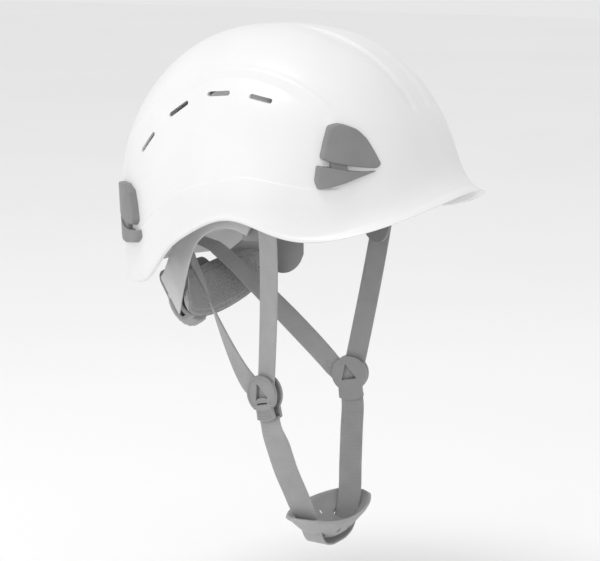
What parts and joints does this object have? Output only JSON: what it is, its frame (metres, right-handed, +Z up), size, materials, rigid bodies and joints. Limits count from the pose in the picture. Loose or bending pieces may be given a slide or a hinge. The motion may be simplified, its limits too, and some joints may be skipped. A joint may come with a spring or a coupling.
{
  "type": "climbing and rescue helmet",
  "caption": "Brimmed hard-shell helmet with lamp clips, webbing crown cradle, ratchet nape band and chin harness with a cup.",
  "frame": {"origin": "on the middle plane, midway over the ears, level with the lowest point of the shell's side rim", "axes": "-Y to the front of the helmet, +X to the wearer's left, +Z up to the crown"},
  "size_m": [0.2266, 0.2701, 0.3886],
  "materials": {
    "shell_white": "gloss",
    "clip_grey": "satin",
    "cradle_webbing": "woven",
    "inner_plastic": "satin",
    "band_plastic": "satin",
    "arm_plastic": "satin",
    "housing_plastic": "satin",
    "gear_plastic": "satin",
    "knob_plastic": "satin",
    "divider_plastic": "satin",
    "cup_plastic": "satin",
    "pad_fabric": "knitted",
    "chin_webbing": "woven",
    "steel": "brushed"
  },
  "bodies": {
    "shell": {"outer_shell": "shell_white", "lamp_clip_front_right": "clip_grey", "lamp_clip_front_left": "clip_grey", "lamp_clip_rear_right": "clip_grey", "lamp_clip_rear_left": "clip_grey", "crown_strap_long": "cradle_webbing", "crown_strap_cross_a": "cradle_webbing", "crown_strap_cross_b": "cradle_webbing", "cradle_anchors": "inner_plastic", "brow_band": "band_plastic", "brow_pad": "pad_fabric", "temple_plate_right": "band_plastic", "temple_plate_left": "band_plastic", "temple_rivets": "steel", "band_arm_right": "arm_plastic", "band_arm_left": "arm_plastic", "front_strap_right": "chin_webbing", "front_strap_left": "chin_webbing", "rear_strap_right": "chin_webbing", "rear_strap_left": "chin_webbing", "strap_anchors": "inner_plastic", "divider_plate_right": "divider_plastic", "divider_plate_left": "divider_plastic", "divider_cover_right": "divider_plastic", "divider_cover_left": "divider_plastic", "cam_pins": "steel"},
    "nape_unit": {"housing_front": "housing_plastic", "housing_rear": "housing_plastic", "housing_screws": "steel", "nape_pad": "pad_fabric"},
    "knob": {"ratchet_pinion": "gear_plastic", "ratchet_knob": "knob_plastic", "knob_screw": "steel"},
    "rack_upper": {"rack_right": "gear_plastic"},
    "rack_lower": {"rack_left": "gear_plastic"},
    "lever_right": {"cam_lever_right": "divider_plastic"},
    "lever_left": {"cam_lever_left": "divider_plastic"},
    "chin_loop": {"chin_strap": "chin_webbing", "chin_cup": "cup_plastic"}
  },
  "joints": [
    {"name": "nape_slide", "type": "slide", "parent": "shell", "child": "nape_unit", "axis": [0, -1, 0], "range_m": [-0.004, 0.004], "deforming": ["band_arm_right", "band_arm_left"]},
    {"name": "knob_turn", "type": "hinge", "parent": "nape_unit", "child": "knob", "pos_m": [0, 0.074, -0.05393], "axis": [0, 0.866, -0.5], "range_deg": [-115, 115]},
    {"name": "rack_upper_slide", "type": "slide", "parent": "nape_unit", "child": "rack_upper", "axis": [1, 0, 0], "range_m": [-0.0105, 0.0105]},
    {"name": "rack_lower_slide", "type": "slide", "parent": "nape_unit", "child": "rack_lower", "axis": [-1, 0, 0], "range_m": [-0.0105, 0.0105]},
    {"name": "cam_lever_right_turn", "type": "hinge", "parent": "shell", "child": "lever_right", "pos_m": [-0.07073, -0.02081, -0.11473], "axis": [0.2347, 0.9415, -0.2419], "range_deg": [0, 60]},
    {"name": "cam_lever_left_turn", "type": "hinge", "parent": "shell", "child": "lever_left", "pos_m": [0.07039, -0.02196, -0.12597], "axis": [0.241, -0.9666, 0.0872], "range_deg": [0, 60]},
    {"name": "chin_loop_swing", "type": "hinge", "parent": "shell", "child": "chin_loop", "pos_m": [0, -0.02075, -0.1115], "axis": [1, 0, 0], "range_deg": [-22, 22]}
  ],
  "couplings": [
    {"joint": "knob_turn", "follows": "nape_slide", "rad_per_m": 500},
    {"joint": "rack_upper_slide", "follows": "nape_slide", "ratio": 2.5},
    {"joint": "rack_lower_slide", "follows": "nape_slide", "ratio": 2.5}
  ]
}
